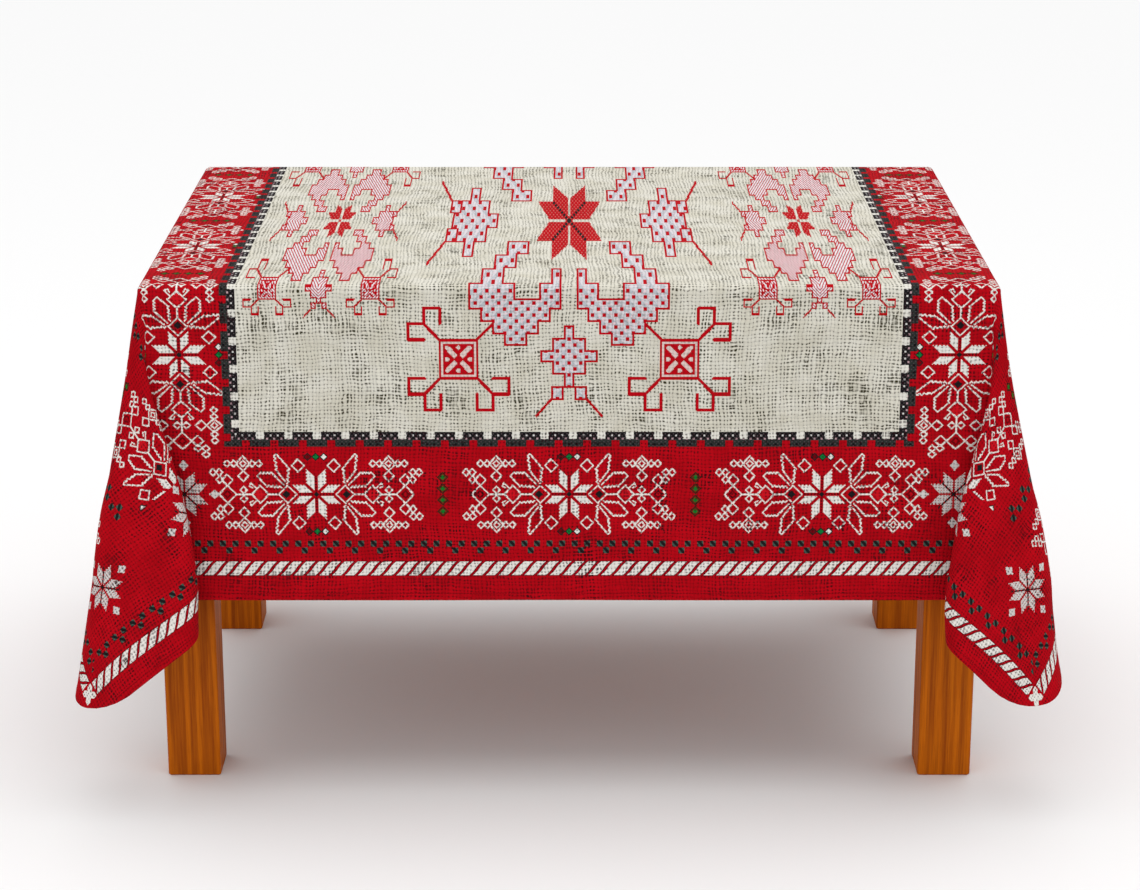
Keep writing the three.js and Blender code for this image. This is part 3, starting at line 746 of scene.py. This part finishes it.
def field_material():
    """Undyed open cloth with the stitched medallions."""
    m, k = material("print_field")
    large = chart_group("medallion_chart", medallion(1.0, 156, 130, LARGE_STITCH, 2))
    little = chart_group("small_medallion_chart", medallion(SMALL, 58, 28, SMALL_STITCH, 1))
    x, y = flat_place(k)
    hole, thread_shade_and_tone, height = k.use(WEAVE, x, y)
    where = k.xyz(x, y)
    patch = k.noise(where, 0.018, 4.0, 0.62, flat=True)
    fibre = k.noise(k.xyz(k.mul(x, 0.35), y), 0.9, 2.0, flat=True)
    colour = k.mix(k.remap(patch, 0.36, 0.64, 0, 1), (0.655, 0.625, 0.525, 1.0), (0.745, 0.72, 0.635, 1.0))
    ax, ay = k.absolute(x), k.absolute(y)
    past = k.more(ay, EDGE)
    top_row = k.mul(ay, TOP_ROWS / EDGE)
    is_small = k.more(ax, 238.0)
    centred = k.pick(is_small, ax, k.absolute(k.sub(ax, SMALL_AT)))
    r1, f1 = k.use(large, k.mul(centred, 1 / LARGE_STITCH), k.pick(past, top_row, k.fit(ay, 1 / LARGE_STITCH, TOP_ROWS - EDGE / LARGE_STITCH)))
    r2, f2 = k.use(little, k.mul(centred, 1 / SMALL_STITCH), k.pick(past, top_row, k.fit(ay, 1 / SMALL_STITCH, TOP_ROWS - EDGE / SMALL_STITCH)))
    red, fill = k.pick(is_small, r1, r2), k.pick(is_small, f1, f2)
    v = k.pick(past, k.mul(ay, TOP_UNITS / EDGE), k.fit(ay, 1 / DOWN, TOP_UNITS - EDGE / DOWN))
    u = k.mul(centred, 1 / ACROSS)
    up, down = k.add(u, v), k.sub(u, v)
    lattice = k.less(k.add(k.off(up, 11.7), k.off(down, 11.7)), 3.6)
    hatch = k.less(k.off(up, 2.9), 0.50)
    dots = k.pick(is_small, lattice, hatch)
    stripe = k.more(k.wrap(down, 11.7), 5.0)
    inlay = k.mix(stripe, (0.50, 0.53, 0.57, 1.0), (0.68, 0.67, 0.70, 1.0))
    inlay = k.mix(is_small, inlay, (0.80, 0.76, 0.78, 1.0))
    inlay = k.mix(k.more(k.noise(where, 0.22, 1.0, flat=True), 0.62), inlay, (0.78, 0.60, 0.64, 1.0))
    inlay = k.mix(dots, inlay, RED)
    in_square = k.both(k.no(is_small), k.less(k.high(k.absolute(k.sub(u, 111.0)), k.absolute(k.sub(v, 125.0))), 20.5))
    inlay = k.mix(in_square, inlay, (0.76, 0.60, 0.56, 1.0))
    colour = k.mix(fill, colour, inlay)
    grain = k.both(k.less(k.add(u, v), 54.0), k.less(k.add(k.off(up, 3.8), k.off(down, 3.8)), 1.15))
    thread_red = k.mix(grain, RED, (0.62, 0.13, 0.11, 1.0))
    ticks = k.both(k.less(k.absolute(down), 1.9), k.both(k.less(up, 36.0), k.less(k.wrap(up, 4.6), 3.3)))
    thread_red = k.mix(k.both(ticks, k.no(is_small)), thread_red, BLACK)
    colour = k.mix(red, colour, thread_red)
    # painted shade: the weave's gaps are darkened like shade seen through the cloth, fully on the bare field and less
    # where stitches cover it
    depth = k.mul(hole, k.pick(k.either(red, fill), 1.0, 0.30))
    colour = k.mix(depth, colour, (0.04, 0.034, 0.014, 1.0))
    # colour times the weave's tone: random for each thread and fibre, plus painted shade that darkens each thread away
    # from its crown
    thread_shade_and_tone = k.fit(k.sub(fibre, 0.5), 0.22, thread_shade_and_tone)
    colour = k.mix(1.0, colour, k.xyz(thread_shade_and_tone, thread_shade_and_tone, thread_shade_and_tone), "MULTIPLY")
    finish_material(k, colour, k.fit(fibre, 0.12, 0.84), height, 0.5, 0.0009, 0.06)
    return m


def border_material():
    """The red surround: toothed band, rows of motifs, stitched wave, rope and hem."""
    m, k = material("print_border")
    motif_tree = chart_group("motif_chart", [border_motif()])
    star_tree = chart_group("corner_star_chart", [corner_star()])
    x, y = flat_place(k)
    hole, thread_shade_and_tone, height = k.use(WEAVE, x, y)
    where = k.xyz(x, y)
    patch = k.noise(where, 0.02, 4.0, 0.62, flat=True)
    colour = k.mix(k.remap(patch, 0.36, 0.64, 0, 1), RED, MID_RED)
    ax, ay = k.absolute(x), k.absolute(y)
    end_d, side_d = k.sub(HALF_LENGTH, ax), k.sub(HALF_WIDTH, ay)

    # where each motif's own middle is: rows along the long hems, and three columns down each short side
    in_rows = k.less(side_d, 212.0)
    in_ends = k.more(ax, k.pick(in_rows, 480.0, 515.0))
    turn = k.mul(k.floor(k.mul(k.sub(ax, 459.0), 1 / 178.0)), 166.0)      # each column is half a step on from the last
    column = k.sub(k.wrap(k.sub(ax, 459.0), 178.0), 89.0)
    along = k.pick(in_ends, k.sub(k.wrap(k.add(x, 180.0), 360.0), 180.0), k.sub(k.wrap(k.add(y, turn), 332.0), 166.0))
    across = k.pick(in_ends, k.sub(side_d, 161.0), column)
    in_corner = k.both(k.more(ax, 492.0), in_rows)
    motif_zone = k.pick(in_ends, k.less(side_d, 228.0), k.both(k.less(ax, 995.0), k.no(in_rows)))
    aa, bb = k.absolute(along), k.absolute(across)
    on, = k.use(motif_tree, k.mul(aa, 1 / MOTIF_STITCH), k.mul(bb, 1 / MOTIF_STITCH))
    inside_red = k.less(k.add(k.absolute(k.sub(aa, 82.0)), bb), 9.0)
    core = k.either(k.less(k.add(k.absolute(k.sub(aa, 43.0)), bb), 6.0), k.less(k.add(aa, bb), 4.2))
    seeds = k.either(k.both(k.less(bb, 1.5), k.both(k.less(aa, 26.0), k.less(k.wrap(aa, 4.4), 2.8))),
                     k.both(k.less(aa, 1.5), k.both(k.less(bb, 28.0), k.less(k.wrap(bb, 4.4), 2.8))))
    dark = k.either(k.math("COMPARE", k.add(k.absolute(k.sub(aa, 127.0)), bb), 5.2, 1.6), seeds)
    colour = k.mix(k.both(motif_zone, dark), colour, DEEP_RED)
    colour = k.mix(k.both(motif_zone, inside_red), colour, (0.60, 0.006, 0.014, 1.0))
    colour = k.mix(k.both(motif_zone, on), colour, WHITE)
    colour = k.mix(k.both(motif_zone, core), colour, BLACK)
    # three small diamonds over and under the star
    third = k.sub(k.wrap(k.add(along, 5.75), 11.5), 5.75)
    trio = k.add(k.absolute(third), k.absolute(k.sub(bb, 56.0)))
    trio_zone = k.both(motif_zone, k.less(aa, 17.2))
    colour = k.mix(k.both(trio_zone, k.less(trio, 6.4)), colour, BLACK)
    which = k.mix(k.more(along, 5.75), k.mix(k.less(along, -5.75), GREEN, DEEP_RED), WHITE)
    colour = k.mix(k.both(trio_zone, k.less(trio, 4.3)), colour, which)
    # green diamonds between the motifs
    half_pitch = k.pick(in_ends, 180.0, 166.0)
    green = k.add(k.absolute(k.sub(aa, half_pitch)), k.off(k.add(bb, 8.5), 17.0))
    green_zone = k.both(motif_zone, k.less(bb, 33.5))
    colour = k.mix(k.both(green_zone, k.less(green, 8.4)), colour, (0.035, 0.02, 0.008, 1.0))
    colour = k.mix(k.both(green_zone, k.less(green, 6.4)), colour, (0.16, 0.012, 0.006, 1.0))
    colour = k.mix(k.both(green_zone, k.less(green, 4.0)), colour, (0.01, 0.17, 0.02, 1.0))
    # grey stars where the rows and columns meet
    su, sv = k.absolute(column), k.absolute(k.sub(side_d, 161.0))
    s_on, = k.use(star_tree, k.mul(su, 1 / MOTIF_STITCH), k.mul(sv, 1 / MOTIF_STITCH))
    colour = k.mix(k.both(in_corner, s_on), colour, (0.66, 0.63, 0.61, 1.0))
    ticks = k.both(k.less(k.absolute(k.sub(su, sv)), 2.0), k.both(k.less(k.add(su, sv), 46.0), k.less(k.wrap(su, 4.6), 2.8)))
    colour = k.mix(k.both(in_corner, ticks), colour, BLACK)
    # stitched wave: two blocks up, one down
    d = k.low(end_d, side_d)
    on_long = k.less(side_d, end_d)
    t = k.pick(on_long, y, x)

    def stitched(colour, level, t, zone=None):
        p = k.wrap(t, 36.0)
        upper = k.both(k.at(level, 5.2, 4.6), k.either(k.at(p, 8.0, 4.4), k.at(p, 26.0, 4.4)))
        lower = k.both(k.at(level, -5.2, 4.6), k.at(p, 17.0, 4.4))
        slash = k.less(k.absolute(k.sub(k.wrap(k.add(p, k.mul(level, 0.85)), 9.0), 4.2)), 2.7)
        marks = k.either(upper, lower)
        if zone is not None:
            marks = k.both(marks, zone)
        return k.mix(marks, colour, k.mix(slash, (0.055, 0.10, 0.08, 1.0), BLACK))

    colour = stitched(colour, k.sub(d, 81.5), t)
    between_columns = k.sub(k.absolute(k.sub(ax, 726.0)), 89.0)
    colour = stitched(colour, between_columns, y, k.both(k.no(in_rows), k.both(k.less(k.absolute(between_columns), 12.0), k.more(ax, 600.0))))

    # rope, with a cross where two meet
    rv = k.sub(d, 49.0)
    way = k.pick(on_long, k.math("SIGN", k.mul(x, -1.0)), k.math("SIGN", y))
    lean = k.mul(k.mul(rv, k.fit(k.absolute(rv), 0.028, 0.60)), way)
    twist = k.wrap(k.add(t, lean), 18.4)
    q1, q2 = k.absolute(k.sub(end_d, 49.0)), k.absolute(k.sub(side_d, 49.0))
    at_corner = k.less(k.high(q1, q2), 15.0)
    in_rope = k.both(k.less(k.absolute(rv), 10.4), k.no(at_corner))
    edge = k.both(k.less(k.absolute(rv), 11.6), k.both(k.no(at_corner), k.less(k.wrap(k.add(twist, 1.6), 18.4), 16.0)))
    colour = k.mix(edge, colour, DEEP_RED)
    colour = k.mix(k.both(in_rope, k.less(twist, 12.6)), colour, WHITE)
    colour = k.mix(k.both(k.less(k.high(q1, q2), 11.5), k.less(k.absolute(k.sub(q1, q2)), 7.0)), colour, WHITE)

    # toothed black band round the field
    ex, ey = k.sub(ax, FIELD_U), k.sub(ay, FIELD_V)
    e = k.high(ex, ey)
    te = k.pick(k.more(ex, ey), x, y)
    in_band = k.less(e, 22.0)
    p = k.wrap(te, 40.3)
    tooth_in = k.both(k.both(k.less(e, 10.5), k.less(p, 11.0)), k.less(k.low(ex, ey), -6.0))
    tooth_out = k.both(k.more(e, 12.5), k.at(p, 25.5, 5.5))
    checks = k.add(k.off(k.add(te, e), 5.8), k.off(k.sub(te, e), 5.8))
    beat = k.off(k.sub(p, 25.5), 10.075)
    band = k.mix(k.more(e, 10.9), (0.009, 0.009, 0.010, 1.0), (0.024, 0.031, 0.028, 1.0))
    band = k.mix(k.less(checks, 1.8), band, (0.075, 0.055, 0.062, 1.0))
    band = k.mix(k.both(k.at(e, 18.4, 1.6), k.more(beat, 3.4)), band, (0.006, 0.006, 0.007, 1.0))
    band = k.mix(k.both(k.at(e, 10.0, 1.3), k.less(beat, 1.4)), band, (0.50, 0.32, 0.35, 1.0))
    band = k.mix(k.both(k.at(e, 5.2, 1.3), k.more(beat, 3.7)), band, (0.68, 0.66, 0.64, 1.0))
    band = k.mix(tooth_in, band, (0.78, 0.76, 0.69, 1.0))
    colour = k.mix(k.both(in_band, k.no(tooth_out)), colour, band)

    fibre = k.noise(k.xyz(k.mul(x, 0.35), y), 0.9, 2.0, flat=True)
    # painted shade: the weave's gaps are darkened like shade seen through the cloth, more in some patches than others
    depth = k.mul(hole, k.remap(patch, 0.38, 0.62, 0.95, 0.60))
    colour = k.mix(depth, colour, (0.02, 0.003, 0.005, 1.0))
    # colour times the weave's tone: random for each thread and fibre, plus painted shade that darkens each thread away
    # from its crown
    thread_shade_and_tone = k.fit(k.sub(fibre, 0.5), 0.22, thread_shade_and_tone)
    colour = k.mix(1.0, colour, k.xyz(thread_shade_and_tone, thread_shade_and_tone, thread_shade_and_tone), "MULTIPLY")
    seam = k.both(k.at(d, HEM_WIDTH - 2.0, 0.65), k.less(k.wrap(t, 4.2), 2.9))
    colour = k.mix(k.mul(seam, 0.8), colour, DEEP_RED)
    finish_material(k, colour, k.fit(fibre, 0.12, 0.84), height, 0.5, 0.0009, 0.06)
    return m


def reverse_material():
    """The wrong side: undyed weave, with the red ground showing through it, and the turned hem."""
    m, k = material("cloth_reverse")
    x, y = flat_place(k)
    hole, thread_shade_and_tone, height = k.use(WEAVE, x, y)
    e = k.high(k.sub(k.absolute(x), FIELD_U), k.sub(k.absolute(y), FIELD_V))
    d = k.low(k.sub(HALF_LENGTH, k.absolute(x)), k.sub(HALF_WIDTH, k.absolute(y)))
    fibre = k.noise(k.xyz(k.mul(x, 0.35), y), 0.9, 2.0, flat=True)
    faded = k.mix(k.remap(fibre, 0.3, 0.7, 0, 1), (0.48, 0.15, 0.13, 1.0), (0.58, 0.23, 0.19, 1.0))
    plain = k.mix(k.remap(fibre, 0.3, 0.7, 0, 1), (0.62, 0.59, 0.49, 1.0), (0.72, 0.70, 0.62, 1.0))
    colour = k.mix(k.less(e, 0.0), faded, plain)
    band = k.either(k.at(e, 11.0, 11.0), k.either(k.at(d, 49.0, 10.5), k.at(d, 81.5, 9.0)))
    colour = k.mix(k.mul(band, 0.45), colour, (0.42, 0.33, 0.31, 1.0))
    colour = k.mix(k.less(d, HEM_WIDTH), colour, RED)
    # painted shade in the weave's gaps, then the weave's tone: random for each thread, plus painted shade away from
    # each thread's crown
    colour = k.mix(k.mul(hole, 0.6), colour, (0.10, 0.06, 0.04, 1.0))
    colour = k.mix(1.0, colour, k.xyz(thread_shade_and_tone, thread_shade_and_tone, thread_shade_and_tone), "MULTIPLY")
    seam = k.both(k.at(d, HEM_WIDTH - 2.0, 0.65), k.less(k.wrap(k.add(x, y), 4.2), 2.9))
    colour = k.mix(k.mul(seam, 0.7), colour, DEEP_RED)
    finish_material(k, colour, 0.86, height, 0.5, 0.0009, 0.2)
    return m


for make in (field_material, border_material, reverse_material):
    cloth.data.materials.append(make())
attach(cloth, "root")
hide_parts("cloth")

# ------------------------------------------------------------------ wood


def wood_material(name, grain, light, dark, seed, rough=0.50):
    """Stained wood with its grain along one axis (0 x, 1 y, 2 z)."""
    m, k = material(name)
    co = k.new("ShaderNodeTexCoord")
    scales = [1.0, 1.0, 1.0]
    scales[grain] = 0.022
    place = k.xyz(*[k.fit(p, s, seed) for p, s in zip(k.parts(co.outputs["Object"]), scales)])
    broad = k.noise(place, 95.0, 4.0, 0.6, 0.3)
    fine = k.noise(place, 420.0, 3.0, 0.6)
    pores = k.noise(place, 1500.0, 2.0, 0.5)
    colour = k.ramp(broad, [(0.28, dark), (0.45, tuple(0.5 * (a + b) for a, b in zip(light, dark))), (0.55, light), (0.72, tuple(min(1, a * 1.12) for a in light))])
    colour = k.mix(k.remap(fine, 0.42, 0.62, 0.0, 0.55), colour, (0.66, 0.52, 0.30, 1.0), "MULTIPLY")
    colour = k.mix(k.remap(pores, 0.55, 0.75, 0.0, 0.5), colour, (0.5, 0.4, 0.3, 1.0), "MULTIPLY")
    finish_material(k, colour, k.remap(fine, 0.3, 0.7, rough - 0.06, rough + 0.12), k.fit(pores, 0.5, fine), 0.25, 0.0005, 0.08)
    return m


LEG_LIGHT, LEG_DARK = (0.56, 0.135, 0.001, 1.0), (0.30, 0.056, 0.001, 1.0)


def paint(node, material):
    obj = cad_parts[node]
    arris = obj.modifiers.new("arris", "BEVEL")
    arris.width, arris.segments, arris.limit_method = 0.0018, 2, "ANGLE"
    for place in obj.material_slots:
        place.material = material


for i, node in enumerate(("leg_front_left", "leg_front_right", "leg_back_left", "leg_back_right")):
    paint(node, wood_material("leg_wood_%d" % i, 2, LEG_LIGHT, LEG_DARK, 3.7 * i))
paint("table_top", wood_material("board_wood", 0, LEG_LIGHT, LEG_DARK, 11.0))
for i, node in enumerate(("apron_front", "apron_back")):
    paint(node, wood_material("apron_wood_%d" % i, 0, LEG_LIGHT, LEG_DARK, 20.0 + i))
for i, node in enumerate(("apron_left", "apron_right")):
    paint(node, wood_material("apron_wood_%d" % (i + 2), 1, LEG_LIGHT, LEG_DARK, 30.0 + i))

# ------------------------------------------------------------------ floor, light, camera


def flat_plane(name, size):
    mesh = bpy.data.meshes.new(name)
    h = size / 2
    mesh.from_pydata([(-h, -h, 0), (h, -h, 0), (h, h, 0), (-h, h, 0)], [], [(0, 1, 2, 3)])
    obj = bpy.data.objects.new(name, mesh)
    bpy.context.scene.collection.objects.link(obj)
    return obj


floor = flat_plane("floor", 60.0)
floor_material, k = material("floor")
floor_bsdf = k.new("ShaderNodeBsdfPrincipled")
floor_bsdf.inputs["Base Color"].default_value = (0.90, 0.90, 0.90, 1.0)
floor_bsdf.inputs["Roughness"].default_value = 0.9
floor_bsdf.inputs["Specular IOR Level"].default_value = 0.0
k.link(floor_bsdf.outputs[0], k.new("ShaderNodeOutputMaterial").inputs[0])
floor.data.materials.append(floor_material)

world = bpy.data.worlds.new("studio")
bpy.context.scene.world = world
world.use_nodes = True
world.node_tree.nodes["Background"].inputs[0].default_value = (1.0, 1.0, 1.0, 1.0)
world.node_tree.nodes["Background"].inputs[1].default_value = 0.72


def area_light(name, location, target, size, power):
    data = bpy.data.lights.new(name, "AREA")
    data.shape, data.size, data.energy = "SQUARE", size, power
    obj = bpy.data.objects.new(name, data)
    obj.location = location
    obj.rotation_euler = (Vector(target) - Vector(location)).to_track_quat("-Z", "Y").to_euler()
    bpy.context.scene.collection.objects.link(obj)
    return obj


area_light("top_light", (0.0, -0.6, 4.2), (0.0, 0.0, 0.7), 3.4, 22.0)
area_light("front_light", (-1.6, -4.6, 2.4), (0.0, 0.0, 0.5), 2.6, 11.0)
area_light("side_light", (3.6, -2.4, 2.2), (0.0, 0.0, 0.4), 2.2, 5.0)

sky_data = bpy.data.lights.new("overhead", "SUN")
sky_data.energy, sky_data.angle = 1.05, math.radians(70)
sky = bpy.data.objects.new("overhead", sky_data)
sky.rotation_euler = (math.radians(-6), math.radians(4), 0)
bpy.context.scene.collection.objects.link(sky)

camera_data = bpy.data.cameras.new("camera")
camera_data.sensor_width = 36.0
camera_data.lens = 91.68
camera = bpy.data.objects.new("camera", camera_data)
camera.location = (CENTRE.x + 0.0013, CENTRE.y - 4.332, 1.769)
camera.rotation_euler = (math.radians(90 - 17.42), 0.0, 0.0)
bpy.context.scene.collection.objects.link(camera)
bpy.context.scene.camera = camera
bpy.context.scene.view_settings.view_transform = "Standard"
